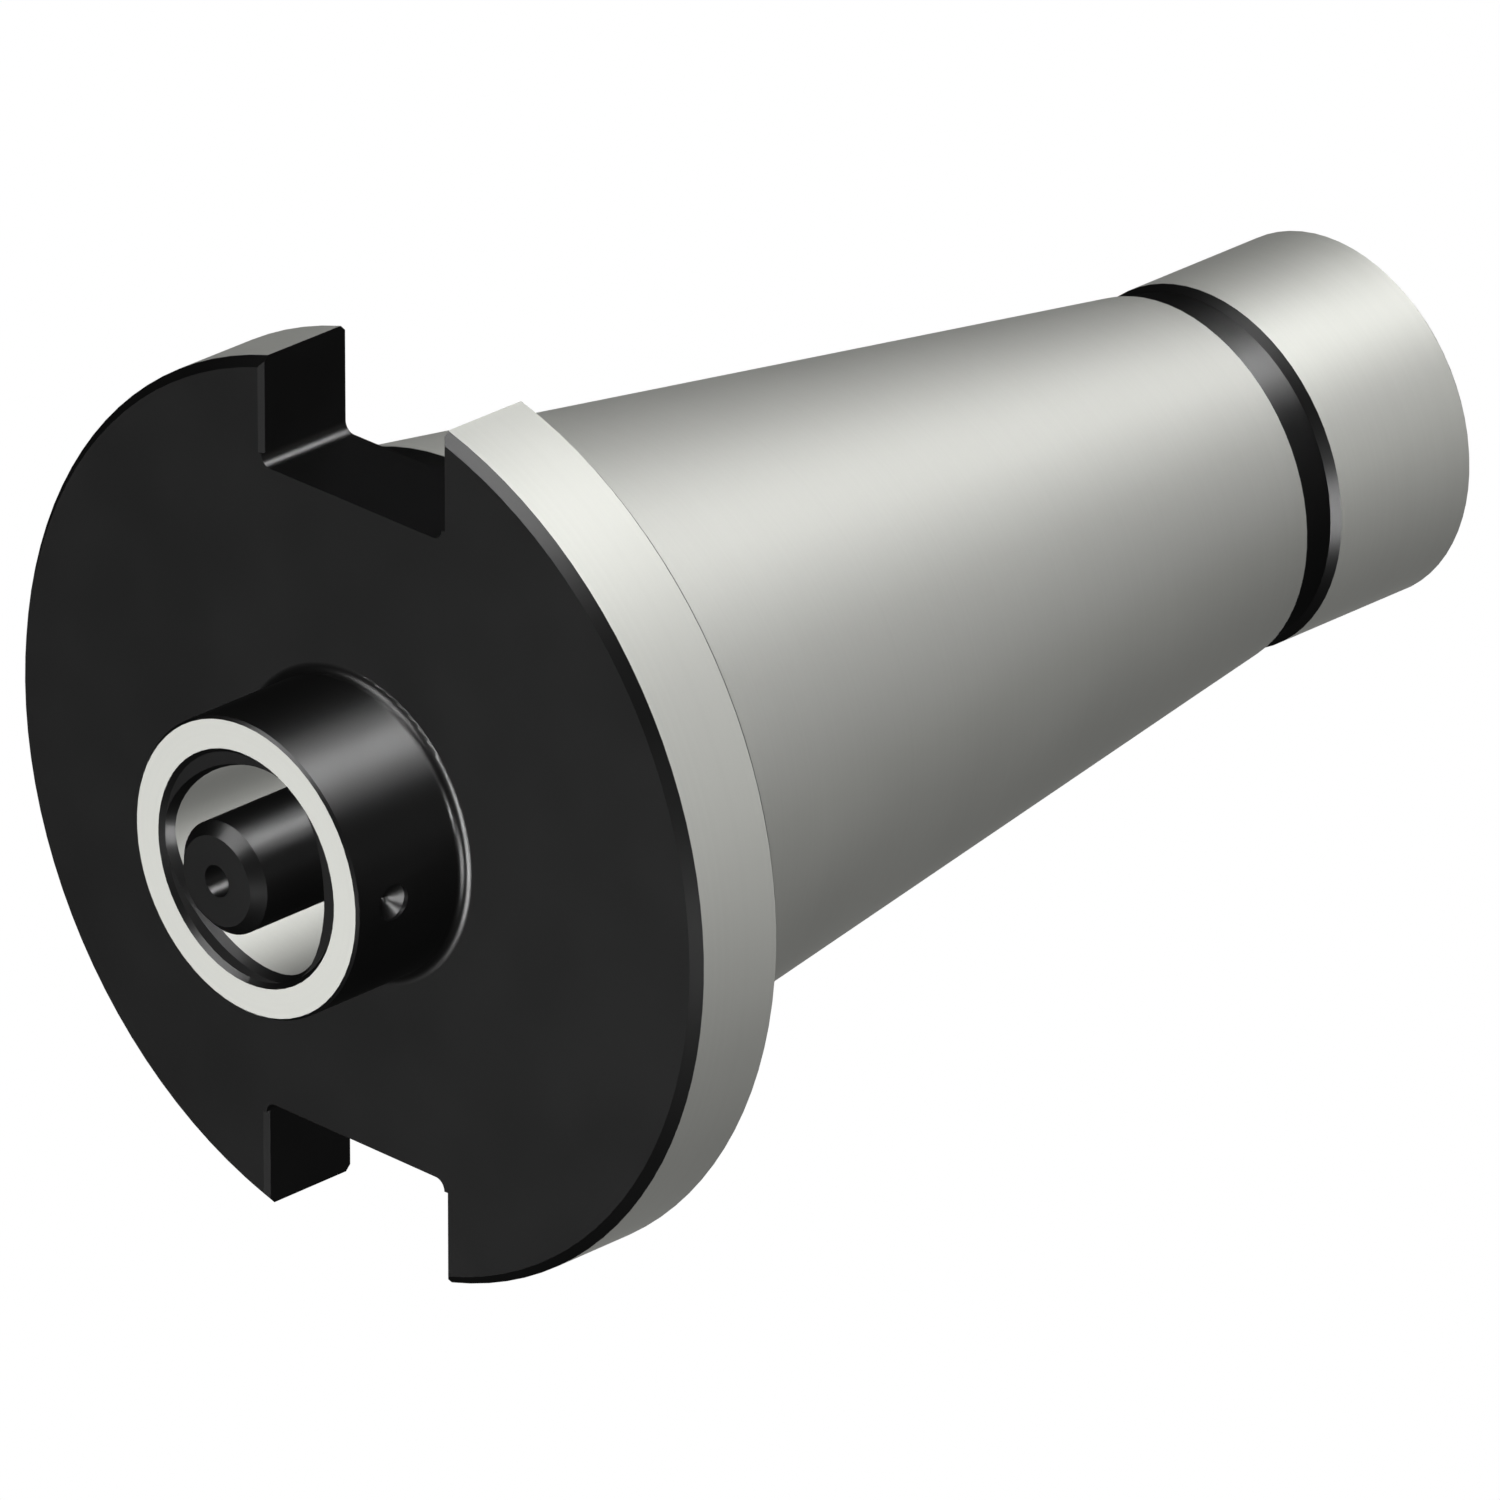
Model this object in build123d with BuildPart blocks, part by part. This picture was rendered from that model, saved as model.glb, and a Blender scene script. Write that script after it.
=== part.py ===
# Tool holder adapter: a 7/24 steep taper shank that carries a three-lobed polygonal taper receiver.
# Units are millimetres. The origin is the centre of the gauge plane, the tool axis lies along Y
# with the nose towards -Y, and +Z points up through one of the two drive slots.

import os
from math import cos, pi, radians, sin, tan

from build123d import *

# Steep taper shank, size 50, with its rear pilot
gauge_d = 69.85
taper_rate = 7 / 24
taper_length = 101.8
shank_length = 126.8
pilot_d = 39.6
pilot_rear_chamfer = 0.5
groove_width = 4.4
groove_depth = 0.6
pilot_lead_angle = 30

# Flange with two drive slots
flange_d = 97.5
flange_thickness = 11.7
flange_gap = 3.4
flange_front_chamfer = 1.0
flange_rear_chamfer = 0.6
slot_width = 25.7
slot_floor = 35.3
slot_corner_r = 1.2
slot_wall_chamfer = 0.5
overcut = 1.0

# Nose hub with its drilled index mark
nose_length = 30.0
hub_d = 32.0
hub_edge_chamfer = 0.3
hub_root_r = 1.0
mark_d = 3.9
mark_depth = 1.7
mark_setback = 5.0
drill_point = 118

# Polygonal receiver, size 32: mean diameter and eccentricity of each outline
mouth_d = 25.26
mouth_chamfer = 0.5
lead_mean_d = 23.0
lead_ecc = 0.78
lead_depth = 1.0
polygon_mean_d = 22.0
polygon_ecc = 0.7
polygon_taper = 1 / 20
polygon_depth = 18.5
outline_points = 24
relief_d = 23.6
relief_width = 2.0

# Bores behind the receiver, from the web that the bolt pulls on to the drawbar end
web_thickness = 11.0
chamber_d = 20.0
key_bore_d = 21.0
thread_root_d = 24.0
thread_depth = 50.0
counterbore_d = 25.0
counterbore_depth = 18.0
centre_cone_d = 34.2
centre_cone_angle = 60

# Centre bolt
bolt_d = 12.0
bolt_reach = 4.0
bolt_tip_chamfer = 1.2
bolt_play = 0.1
guide_d = 12.5
guide_clearance = 0.05
guide_stand_out = 0.3
head_clearance = 0.2
head_length = 13.0
head_chamfer = 0.5
coolant_d = 3.4
socket_across_flats = 10.0
socket_depth = 6.5

# Seal ring round the bolt's head
seal_cord = 1.7
seal_sides = 12
seal_clearance = 0.02
seal_groove_width = 2.3
seal_groove_setback = 4.0

# Retaining ring behind the bolt's head
ring_thickness = 1.0
ring_land = 1.5
ring_groove_depth = 0.5
ring_groove_width = 1.1
ring_clearance = 0.05
ring_width = 2.4
ring_taper = 0.3
lug_angle = 30
lug_width = 3.6
lug_reach = 3.9
lug_hole_d = 2.0

# Stations along the axis
ring_face_y = -nose_length
flange_rear_y = -flange_gap
flange_front_y = flange_rear_y - flange_thickness
lead_y = ring_face_y + mouth_chamfer
polygon_y = lead_y + lead_depth
relief_y = polygon_y + polygon_depth
cavity_floor_y = relief_y + relief_width
seat_y = cavity_floor_y + web_thickness
groove_rear_y = taper_length + groove_width
head_y = seat_y + bolt_play
head_rear_y = head_y + head_length
ring_groove_y = head_rear_y + bolt_play
chamber_rear_y = ring_groove_y + ring_groove_width + ring_land

# Radii that follow from the sizes above
gauge_r = gauge_d / 2
taper_end_r = gauge_r - taper_rate / 2 * taper_length
groove_r = pilot_d / 2 - groove_depth
pilot_lead = groove_depth / tan(radians(pilot_lead_angle))
guide_hole_r = guide_d / 2 + guide_clearance
head_r = chamber_d / 2 - head_clearance
seal_groove_r = chamber_d / 2 - seal_cord - 2 * seal_clearance
ring_groove_r = chamber_d / 2 + ring_groove_depth


# The sketch plane of the turned profiles, through the lower drive slot: local x is -Z and local y is +Y
turning_plane = Plane(origin=(0, 0, 0), x_dir=(0, 0, -1), z_dir=(1, 0, 0))


# A sketch plane square to the tool axis, seen from the nose: local x is +X and local y is +Z
def station(y):
    return Plane(origin=(0, y, 0), x_dir=(1, 0, 0), z_dir=(0, -1, 0))


# Points of the three-lobed outline, which has a flat square to +X and a lobe towards -X
def polygon_outline(mean_d, ecc):
    points = []
    for i in range(outline_points):
        a = 2 * pi * i / outline_points
        x = mean_d / 2 * cos(a) - 2 * ecc * cos(2 * a) + ecc * cos(4 * a)
        z = mean_d / 2 * sin(a) + 2 * ecc * sin(2 * a) + ecc * sin(4 * a)
        points.append((x, z))
    return points


# Circular edges of a turned part at one station and radius
def circles_at(edges, y, r):
    rings = edges.filter_by(GeomType.CIRCLE)
    return rings.filter_by(lambda e: abs(e.radius - r) < 0.01 and abs(e.arc_center.Y - y) < 0.01)


# Body, turned from one bar: hub, flange, steep taper, groove and pilot
with BuildPart() as adapter_body:
    with BuildSketch(turning_plane):
        with BuildLine():
            Polyline(
                (0, ring_face_y),
                (hub_d / 2, ring_face_y),
                (hub_d / 2, flange_front_y),
                (flange_d / 2, flange_front_y),
                (flange_d / 2, flange_rear_y),
                (gauge_r, flange_rear_y),
                (gauge_r, 0),
                (taper_end_r, taper_length),
                (groove_r, taper_length),
                (groove_r, groove_rear_y),
                (pilot_d / 2, groove_rear_y + pilot_lead),
                (pilot_d / 2, shank_length),
                (0, shank_length),
                close=True,
            )
        make_face()
    revolve(axis=Axis.Y)
    chamfer(circles_at(edges(), ring_face_y, hub_d / 2), hub_edge_chamfer)
    fillet(circles_at(edges(), flange_front_y, hub_d / 2), hub_root_r)
    chamfer(circles_at(edges(), flange_front_y, flange_d / 2), flange_front_chamfer)
    chamfer(circles_at(edges(), flange_rear_y, flange_d / 2), flange_rear_chamfer)
    chamfer(circles_at(edges(), shank_length, pilot_d / 2), pilot_rear_chamfer)

    # Walls of the two drive slots, whose front chamfers end flat where the corner radii begin
    slot_length = flange_thickness + 2 * overcut
    wall_foot = slot_floor + slot_corner_r
    wall_height = flange_d / 2 - wall_foot + overcut
    with BuildSketch(station(flange_rear_y + overcut)):
        with PolarLocations(wall_foot + wall_height / 2, 2, start_angle=90):
            Rectangle(wall_height, slot_width)
    extrude(amount=slot_length, mode=Mode.SUBTRACT)
    wall_edges = edges().filter_by(Axis.Z).filter_by(lambda e: abs(e.center().Y - flange_front_y) < 0.01)
    chamfer(wall_edges, slot_wall_chamfer)

    # Floors of the drive slots with their corner radii, milled through the flange
    slot_height = flange_d / 2 - slot_floor + overcut
    with BuildSketch(station(flange_rear_y + overcut)) as slots:
        with PolarLocations(slot_floor + slot_height / 2, 2, start_angle=90):
            Rectangle(slot_height, slot_width)
        floor_corners = slots.vertices().filter_by(lambda v: abs(abs(v.Y) - slot_floor) < 0.01)
        fillet(floor_corners, slot_corner_r)
    extrude(amount=slot_length, mode=Mode.SUBTRACT)

    # Bores from the drawbar end to the bolt's seat, and the bolt's hole through the web
    with BuildSketch(turning_plane):
        with BuildLine():
            cone_length = (centre_cone_d - counterbore_d) / 2 / tan(radians(centre_cone_angle / 2))
            Polyline(
                (0, shank_length),
                (centre_cone_d / 2, shank_length),
                (counterbore_d / 2, shank_length - cone_length),
                (counterbore_d / 2, shank_length - counterbore_depth),
                (thread_root_d / 2, shank_length - counterbore_depth),
                (thread_root_d / 2, shank_length - thread_depth),
                (key_bore_d / 2, shank_length - thread_depth),
                (key_bore_d / 2, chamber_rear_y),
                (chamber_d / 2, chamber_rear_y),
                (chamber_d / 2, seat_y),
                (guide_hole_r, seat_y),
                (guide_hole_r, cavity_floor_y),
                (0, cavity_floor_y),
                close=True,
            )
        make_face()
    revolve(axis=Axis.Y, mode=Mode.SUBTRACT)
    with BuildSketch(station(ring_groove_y + ring_groove_width)):
        Circle(ring_groove_r)
    extrude(amount=ring_groove_width, mode=Mode.SUBTRACT)

    # Receiver: round mouth, three-lobed lead-in, three-lobed taper and the grinding relief behind it
    with BuildSketch(turning_plane):
        with BuildLine():
            Polyline(
                (0, ring_face_y),
                (mouth_d / 2, ring_face_y),
                (mouth_d / 2 - mouth_chamfer, lead_y),
                (0, lead_y),
                close=True,
            )
        make_face()
    revolve(axis=Axis.Y, mode=Mode.SUBTRACT)
    with BuildSketch(station(lead_y)):
        with BuildLine():
            Spline(*polygon_outline(lead_mean_d, lead_ecc), periodic=True)
        make_face()
    with BuildSketch(station(polygon_y)):
        with BuildLine():
            Spline(*polygon_outline(polygon_mean_d, polygon_ecc), periodic=True)
        make_face()
    loft(ruled=True, mode=Mode.SUBTRACT)
    with BuildSketch(station(polygon_y)):
        with BuildLine():
            Spline(*polygon_outline(polygon_mean_d, polygon_ecc), periodic=True)
        make_face()
    with BuildSketch(station(relief_y)):
        with BuildLine():
            end_mean_d = polygon_mean_d - polygon_taper * polygon_depth
            Spline(*polygon_outline(end_mean_d, polygon_ecc), periodic=True)
        make_face()
    loft(ruled=True, mode=Mode.SUBTRACT)
    with BuildSketch(station(cavity_floor_y)):
        Circle(relief_d / 2)
    extrude(amount=relief_width, mode=Mode.SUBTRACT)

    # Index mark drilled into the side of the hub
    with BuildSketch(Plane.XY):
        with BuildLine():
            point_length = mark_d / 2 / tan(radians(drill_point / 2))
            mark_y = ring_face_y + mark_setback
            Polyline(
                (hub_d / 2 - mark_depth, mark_y),
                (hub_d / 2 - mark_depth + point_length, mark_y + mark_d / 2),
                (hub_d / 2 + overcut, mark_y + mark_d / 2),
                (hub_d / 2 + overcut, mark_y),
                close=True,
            )
        make_face()
    revolve(axis=Axis((0, mark_y, 0), (1, 0, 0)), mode=Mode.SUBTRACT)
adapter_body.part.label = "adapter_body"


# Centre bolt: plain front end, guide land, head with a seal groove and key socket, coolant hole
with BuildPart() as center_bolt:
    with BuildSketch(turning_plane):
        with BuildLine():
            bolt_tip_y = ring_face_y - bolt_reach
            guide_y = cavity_floor_y - guide_stand_out
            seal_front_y = head_y + seal_groove_setback
            Polyline(
                (coolant_d / 2, bolt_tip_y),
                (bolt_d / 2, bolt_tip_y),
                (bolt_d / 2, guide_y),
                (guide_d / 2, guide_y),
                (guide_d / 2, head_y),
                (head_r, head_y),
                (head_r, seal_front_y),
                (seal_groove_r, seal_front_y),
                (seal_groove_r, seal_front_y + seal_groove_width),
                (head_r, seal_front_y + seal_groove_width),
                (head_r, head_rear_y),
                (coolant_d / 2, head_rear_y),
                close=True,
            )
        make_face()
    revolve(axis=Axis.Y)
    chamfer(circles_at(edges(), bolt_tip_y, bolt_d / 2), bolt_tip_chamfer)
    chamfer(circles_at(edges(), head_rear_y, head_r), head_chamfer)
    with BuildSketch(station(head_rear_y)):
        RegularPolygon(socket_across_flats / 2, 6, major_radius=False)
    extrude(amount=socket_depth, mode=Mode.SUBTRACT)
center_bolt.part.label = "center_bolt"


# Seal ring as it lies squeezed, with a flat on the groove floor and one on the chamber wall
with BuildPart() as bolt_seal_ring:
    with BuildSketch(turning_plane):
        seal_y = head_y + seal_groove_setback + seal_groove_width / 2
        with Locations((chamber_d / 2 - seal_clearance - seal_cord / 2, seal_y)):
            RegularPolygon(seal_cord / 2, seal_sides, major_radius=False, rotation=180 / seal_sides)
    revolve(axis=Axis.Y)
bolt_seal_ring.part.label = "bolt_seal_ring"


# Internal retaining ring: wide opposite its gap, with a pierced lug at each end
with BuildPart() as retaining_ring:
    ring_r = ring_groove_r - ring_clearance
    ring_slack = (ring_groove_width - ring_thickness) / 2
    lug_r = ring_r - lug_reach / 2
    with BuildSketch(station(ring_groove_y + ring_slack + ring_thickness)):
        Circle(ring_r)
        with Locations((0, -ring_taper)):
            Circle(ring_r - ring_width + ring_taper, mode=Mode.SUBTRACT)
        with Locations((0, -ring_r)):
            Rectangle(2 * lug_r * sin(radians(lug_angle)), 2 * ring_width, mode=Mode.SUBTRACT)
        with PolarLocations(lug_r, 2, -90 - lug_angle, 2 * lug_angle, endpoint=True):
            RectangleRounded(lug_reach, lug_width, lug_width / 4)
            Circle(lug_hole_d / 2, mode=Mode.SUBTRACT)
        Circle(ring_r, mode=Mode.INTERSECT)
    extrude(amount=ring_thickness)
retaining_ring.part.label = "retaining_ring"


os.makedirs("parts", exist_ok=True)
export_step(adapter_body.part, "parts/adapter_body.step")
export_step(center_bolt.part, "parts/center_bolt.step")
export_step(bolt_seal_ring.part, "parts/bolt_seal_ring.step")
export_step(retaining_ring.part, "parts/retaining_ring.step")
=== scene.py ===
# Looks of the tool holder adapter: finishes by surface, drawbar thread, studio light and camera.
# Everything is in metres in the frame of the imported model.
from math import cos, hypot, pi, radians, sin, tan

import bmesh
import bpy
from mathutils import Matrix, Vector


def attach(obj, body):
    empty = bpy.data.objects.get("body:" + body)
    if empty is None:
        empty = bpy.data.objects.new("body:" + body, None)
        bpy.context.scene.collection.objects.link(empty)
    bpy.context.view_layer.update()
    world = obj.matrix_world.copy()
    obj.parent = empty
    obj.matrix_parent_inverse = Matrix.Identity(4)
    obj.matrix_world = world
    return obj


MM = 0.001

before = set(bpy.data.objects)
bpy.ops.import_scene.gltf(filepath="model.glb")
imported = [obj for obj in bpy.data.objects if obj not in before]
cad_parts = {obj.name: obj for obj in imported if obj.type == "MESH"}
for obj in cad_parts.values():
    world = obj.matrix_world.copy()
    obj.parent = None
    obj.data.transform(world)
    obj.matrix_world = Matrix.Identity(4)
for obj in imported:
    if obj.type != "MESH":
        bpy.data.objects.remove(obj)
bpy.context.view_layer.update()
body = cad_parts["adapter_body"]
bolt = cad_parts["center_bolt"]
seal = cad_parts["bolt_seal_ring"]
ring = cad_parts["retaining_ring"]


# Materials
GROUND_COLOURS = ((0.62, 0.625, 0.592), (0.648, 0.653, 0.62))
GROUND_ROUGHNESS = 0.596
GROUND_SPREAD = 0.006
GROUND_RINGS = 0.35 * MM
GROUND_PATCHES = 14 * MM

BLACK_COLOURS = ((0.0012, 0.0012, 0.0012), (0.0019, 0.0019, 0.0019))
BLACK_ROUGHNESS = 0.300
BLACK_SPREAD = 0.008
BLACK_RINGS = 0.5 * MM
BLACK_PATCHES = 9 * MM
BLACK_IOR = 1.66

RUBBER_COLOURS = ((0.012, 0.012, 0.012), (0.022, 0.022, 0.022))
RUBBER_ROUGHNESS = (0.5, 0.65)
RUBBER_GRAIN = 0.2 * MM

METAL_RELIEF = 0.0008 * MM
RUBBER_RELIEF = 0.002 * MM

NOISE_LOW = 0.3        # nearly all of a noise texture lies between these two values
NOISE_HIGH = 0.7


def new_material(name):
    material = bpy.data.materials.new(name)
    material.use_nodes = True
    shader = material.node_tree.nodes["Principled BSDF"]
    return material, material.node_tree, shader


def own_place(tree):
    """A point's place in the piece's own coordinates."""
    return tree.nodes.new("ShaderNodeTexCoord").outputs["Object"]


def turned_place(tree, place):
    """(Distance from the tool axis, station along it, 0): a texture on it runs round the axis."""
    split = tree.nodes.new("ShaderNodeSeparateXYZ")
    tree.links.new(place, split.inputs[0])
    across = tree.nodes.new("ShaderNodeCombineXYZ")
    tree.links.new(split.outputs["X"], across.inputs["X"])
    tree.links.new(split.outputs["Z"], across.inputs["Y"])
    radius = tree.nodes.new("ShaderNodeVectorMath")
    radius.operation = "LENGTH"
    tree.links.new(across.outputs[0], radius.inputs[0])
    turned = tree.nodes.new("ShaderNodeCombineXYZ")
    tree.links.new(radius.outputs["Value"], turned.inputs["X"])
    tree.links.new(split.outputs["Y"], turned.inputs["Y"])
    return turned.outputs[0]


def noise(tree, vector, size, detail=2.0):
    """Noise from 0 to 1 whose features are about size metres across."""
    texture = tree.nodes.new("ShaderNodeTexNoise")
    texture.inputs["Scale"].default_value = 1 / size
    texture.inputs["Detail"].default_value = detail
    tree.links.new(vector, texture.inputs["Vector"])
    return texture.outputs["Fac"]


def to_range(tree, value, low, high):
    """A noise value spread over a range."""
    spread = tree.nodes.new("ShaderNodeMapRange")
    spread.inputs["From Min"].default_value = NOISE_LOW
    spread.inputs["From Max"].default_value = NOISE_HIGH
    spread.inputs["To Min"].default_value = low
    spread.inputs["To Max"].default_value = high
    tree.links.new(value, spread.inputs["Value"])
    return spread.outputs["Result"]


def tint(tree, value, dark, light):
    """A colour between two, by a value from 0 to 1."""
    mix = tree.nodes.new("ShaderNodeMix")
    mix.data_type = "RGBA"
    mix.inputs["A"].default_value = (*dark, 1)
    mix.inputs["B"].default_value = (*light, 1)
    tree.links.new(value, mix.inputs["Factor"])
    return mix.outputs["Result"]


def dress(tree, shader, colour, roughness, marks, relief):
    """Gives a shader its colour and roughness, and marks that stand as high as the relief."""
    bump = tree.nodes.new("ShaderNodeBump")
    bump.inputs["Strength"].default_value = 1.0
    bump.inputs["Distance"].default_value = relief
    tree.links.new(marks, bump.inputs["Height"])
    tree.links.new(colour, shader.inputs["Base Color"])
    tree.links.new(roughness, shader.inputs["Roughness"])
    tree.links.new(bump.outputs["Normal"], shader.inputs["Normal"])


def ground_steel():
    """Precision-ground steel: fine rings left by the wheel, faint patches in the gloss."""
    material, tree, shader = new_material("ground_steel")
    place = own_place(tree)
    marks = noise(tree, turned_place(tree, place), GROUND_RINGS, detail=3)
    patches = noise(tree, place, GROUND_PATCHES)
    colour = tint(tree, marks, *GROUND_COLOURS)
    limits = (GROUND_ROUGHNESS - GROUND_SPREAD, GROUND_ROUGHNESS + GROUND_SPREAD)
    dress(tree, shader, colour, to_range(tree, patches, *limits), marks, METAL_RELIEF)
    shader.inputs["Metallic"].default_value = 1.0
    return material


def black_oxide():
    """Blackened steel: turning rings under a thin dark film."""
    material, tree, shader = new_material("black_oxide")
    place = own_place(tree)
    marks = noise(tree, turned_place(tree, place), BLACK_RINGS)
    patches = noise(tree, place, BLACK_PATCHES)
    colour = tint(tree, patches, *BLACK_COLOURS)
    limits = (BLACK_ROUGHNESS - BLACK_SPREAD, BLACK_ROUGHNESS + BLACK_SPREAD)
    dress(tree, shader, colour, to_range(tree, patches, *limits), marks, METAL_RELIEF)
    shader.inputs["IOR"].default_value = BLACK_IOR
    return material


def seal_rubber():
    material, tree, shader = new_material("seal_rubber")
    grain = noise(tree, own_place(tree), RUBBER_GRAIN, detail=4)
    colour = tint(tree, grain, *RUBBER_COLOURS)
    dress(tree, shader, colour, to_range(tree, grain, *RUBBER_ROUGHNESS), grain, RUBBER_RELIEF)
    return material


steel = ground_steel()
black = black_oxide()
rubber = seal_rubber()


# Surfaces of the body that are ground bright, by their stations along the tool axis: the ring
# face, the rim, the taper, the pilot and the inside of the receiver. All others are blackened
RING_FACE = -30.0 * MM
FLANGE = (-14.1 * MM, -4.0 * MM)
TAPER = (0.0, 101.8 * MM)
PILOT = (107.24 * MM, 126.3 * MM)
RECEIVER = (-28.5 * MM, -10.0 * MM)
NEAR = 0.02 * MM
RIM_LEAST_R = 48 * MM  # the slots' floors, which face outward too, lie further in
SIDEWAYS = 0.9         # a face whose normal has at least this part across the axis is a side


def between(value, limits):
    return limits[0] < value < limits[1]


def is_ground(centre, normal):
    radius = hypot(centre.x, centre.z)
    outward = (normal.x * centre.x + normal.z * centre.z) / radius
    if outward > SIDEWAYS:
        on_rim = between(centre.y, FLANGE) and radius > RIM_LEAST_R
        return on_rim or between(centre.y, TAPER) or between(centre.y, PILOT)
    if outward < -SIDEWAYS:
        return between(centre.y, RECEIVER)
    return abs(centre.y - RING_FACE) < NEAR


def finish(node, *materials):
    """Gives a piece its materials. It shows in no other's gloss: the photo mirrors no face."""
    node.data.materials.clear()
    for material in materials:
        node.data.materials.append(material)
    node.visible_glossy = False


def finish_body():
    finish(body, black, steel)
    for face in body.data.polygons:
        face.material_index = 1 if is_ground(face.center, face.normal) else 0


finish_body()
finish(bolt, black)
finish(seal, rubber)
finish(ring, black)


# Thread for the drawbar, M24 with a pitch of 3 mm, as one ridge wound on the wall of its hole
THREAD_START = 76.8 * MM
THREAD_END = 108.8 * MM
PITCH = 3.0 * MM
ROOT_R = 12.0 * MM
CREST_R = 10.38 * MM
SUNK = 0.05 * MM
BASE_WIDTH = PITCH * 7 / 8
CREST_WIDTH = PITCH / 4
STEPS_A_TURN = 64
RUN_OUT = 0.4          # turns over which the ridge rises from nothing, and falls again


def ridge_section(angle, y, height):
    """Four corners of the ridge at one place of the helix, at a height from 0 to 1 of the full."""
    crest = ROOT_R - (ROOT_R - CREST_R) * height
    half_base = BASE_WIDTH / 2
    half_crest = (BASE_WIDTH - (BASE_WIDTH - CREST_WIDTH) * height) / 2
    corners = (
        (ROOT_R + SUNK, -half_base),
        (crest, -half_crest),
        (crest, half_crest),
        (ROOT_R + SUNK, half_base),
    )
    return [
        Vector((radius * cos(angle), y + along, radius * sin(angle)))
        for radius, along in corners
    ]


def add_thread():
    mesh = bmesh.new()
    travel = THREAD_END - THREAD_START - BASE_WIDTH
    turns = travel / PITCH
    steps = round(turns * STEPS_A_TURN)
    rows = []
    for step in range(steps + 1):
        turn = turns * step / steps
        height = min(1.0, turn / RUN_OUT, (turns - turn) / RUN_OUT)
        y = THREAD_START + BASE_WIDTH / 2 + PITCH * turn
        rows.append([mesh.verts.new(corner) for corner in ridge_section(2 * pi * turn, y, height)])
    for one, two in zip(rows, rows[1:]):
        for k in range(len(one) - 1):
            mesh.faces.new((one[k], two[k], two[k + 1], one[k + 1]))
    bmesh.ops.recalc_face_normals(mesh, faces=mesh.faces)
    thread = bpy.data.objects.new("drawbar_thread", bpy.data.meshes.new("drawbar_thread"))
    mesh.to_mesh(thread.data)
    mesh.free()
    bpy.context.scene.collection.objects.link(thread)
    finish(thread, black)
    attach(thread, "adapter")


add_thread()


# Camera at the photo's angle
AZIMUTH = radians(44.985)
ELEVATION = radians(25.144)
ROLL = radians(0.093)
DISTANCE = 2.4108
LENS = 578.2           # the lens and the sensor are in millimetres
SENSOR_WIDTH = 36
CLIP_END = 50
AIM_RIGHT = 39.49 * MM
AIM_UP = 7.31 * MM
AIM_ALONG = -14.79 * MM


def add_camera():
    look = Vector((-sin(AZIMUTH) * cos(ELEVATION), cos(AZIMUTH) * cos(ELEVATION), -sin(ELEVATION)))
    sideways = Vector((cos(AZIMUTH), sin(AZIMUTH), 0))
    upright = sideways.cross(look)
    right = sideways * cos(ROLL) + upright * sin(ROLL)
    up = upright * cos(ROLL) - sideways * sin(ROLL)
    aim = right * AIM_RIGHT + up * AIM_UP + Vector((0, AIM_ALONG, 0))
    camera = bpy.data.objects.new("camera", bpy.data.cameras.new("camera"))
    turn = Matrix((right, up, -look)).transposed()
    camera.matrix_world = Matrix.Translation(aim - look * DISTANCE) @ turn.to_4x4()
    camera.data.sensor_width = SENSOR_WIDTH
    camera.data.lens = LENS
    camera.data.clip_end = CLIP_END
    bpy.context.scene.collection.objects.link(camera)
    bpy.context.scene.camera = camera


# Light: round soft lamps, far off. They cast no shadows, since the photo has none. Only the lamp
# behind the part does, which keeps its light off the front.
# A lamp is its direction from the part, its spread in degrees of radius, and its level
LAMP_DISTANCE = 3.0
LAMPS = {
    "lamp_front": ((-0.0465, -0.939, -0.342), 20, 0.908),
    "lamp_top": ((0.192, 0.328, 0.925), 31.1, 0.438),
    "lamp_right": ((0.956, 0.135, 0.26), 5.78, 0.22),
    "lamp_upper_edges": ((-0.187, -0.589, 0.786), 23.9, 0.479),
    "lamp_lower_edges": ((0.913, -0.277, -0.3), 17.6, 0.451),
    "lamp_highlight": ((0.165, 0.609, 0.775), 10.7, 0.112),
    "lamp_back": ((0.0, 0.93, 0.36), 34, 0.12),
}
SHADOWED = ("lamp_back",)

# Brightness of the white background in the light that it gives, and in reflections
AMBIENT = 0.04
MIRRORED = 0.004


def add_lamp(name, toward, spread, level):
    """Lamp that looks spread degrees in radius, and lights a white card that faces it to level."""
    lamp = bpy.data.objects.new(name, bpy.data.lights.new(name, "AREA"))
    lamp.data.shape = "DISK"
    lamp.data.size = 2 * LAMP_DISTANCE * tan(radians(spread))
    lamp.data.energy = level * (pi * LAMP_DISTANCE / cos(radians(spread))) ** 2
    lamp.data.use_shadow = name in SHADOWED
    lamp.data.cycles.use_multiple_importance_sampling = False
    place = Vector(toward).normalized() * LAMP_DISTANCE
    lamp.location = place
    lamp.rotation_euler = (-place).to_track_quat("-Z", "Y").to_euler()
    bpy.context.scene.collection.objects.link(lamp)


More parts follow.
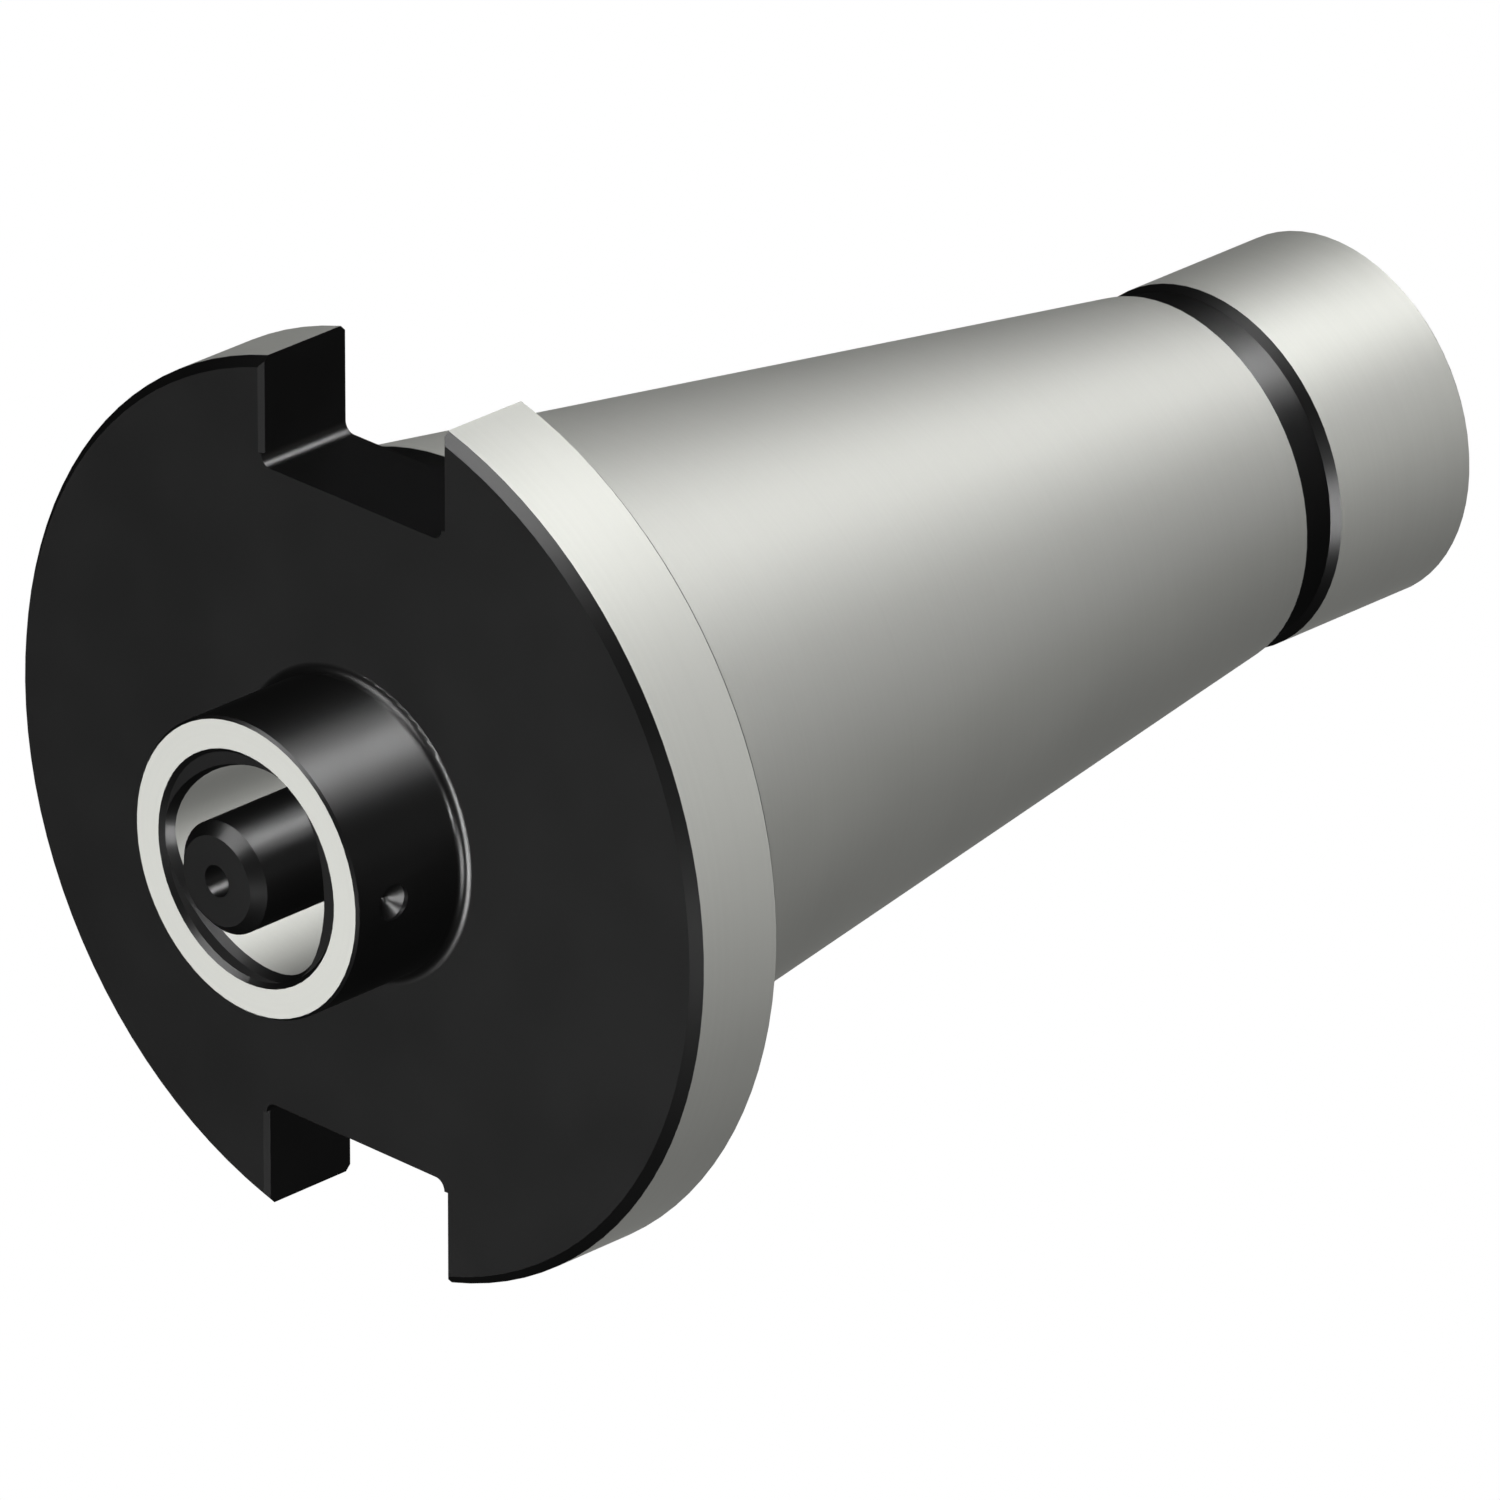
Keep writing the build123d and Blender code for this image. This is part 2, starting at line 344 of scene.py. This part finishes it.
def background_strength(tree):
    """1 in sight of the camera or through clear material, else MIRRORED in gloss, else AMBIENT."""
    rays = tree.nodes.new("ShaderNodeLightPath")
    seen = tree.nodes.new("ShaderNodeMath")
    seen.operation = "MAXIMUM"
    tree.links.new(rays.outputs["Is Camera Ray"], seen.inputs[0])
    tree.links.new(rays.outputs["Is Transmission Ray"], seen.inputs[1])
    mirrored = tree.nodes.new("ShaderNodeMath")
    mirrored.operation = "MULTIPLY_ADD"
    mirrored.inputs[1].default_value = MIRRORED - AMBIENT
    mirrored.inputs[2].default_value = AMBIENT
    tree.links.new(rays.outputs["Is Glossy Ray"], mirrored.inputs[0])
    strength = tree.nodes.new("ShaderNodeMath")
    strength.operation = "MAXIMUM"
    tree.links.new(seen.outputs[0], strength.inputs[0])
    tree.links.new(mirrored.outputs[0], strength.inputs[1])
    return strength.outputs[0]


def light_world():
    world = bpy.data.worlds.new("studio")
    world.use_nodes = True
    tree = world.node_tree
    background = tree.nodes["Background"]
    background.inputs["Color"].default_value = (1, 1, 1, 1)
    tree.links.new(background_strength(tree), background.inputs["Strength"])
    bpy.context.scene.world = world


FLOOR_DEPTH = 8.0
FLOOR_HALF = 30.0


def add_floor():
    """Plain white floor far below the part, which is shown held in the air as in its spindle."""
    corners = [
        (x * FLOOR_HALF, y * FLOOR_HALF, -FLOOR_DEPTH)
        for x, y in ((-1, -1), (1, -1), (1, 1), (-1, 1))
    ]
    mesh = bpy.data.meshes.new("floor")
    mesh.from_pydata(corners, [], [(0, 1, 2, 3)])
    floor = bpy.data.objects.new("floor", mesh)
    bpy.context.scene.collection.objects.link(floor)
    material = bpy.data.materials.new("floor_white")
    material.use_nodes = True
    tree = material.node_tree
    tree.nodes.remove(tree.nodes["Principled BSDF"])
    glow = tree.nodes.new("ShaderNodeEmission")
    tree.links.new(background_strength(tree), glow.inputs["Strength"])
    tree.links.new(glow.outputs[0], tree.nodes["Material Output"].inputs["Surface"])
    mesh.materials.append(material)


add_camera()
for name, lamp in LAMPS.items():
    add_lamp(name, *lamp)
light_world()
add_floor()
bpy.context.scene.view_settings.view_transform = "Standard"
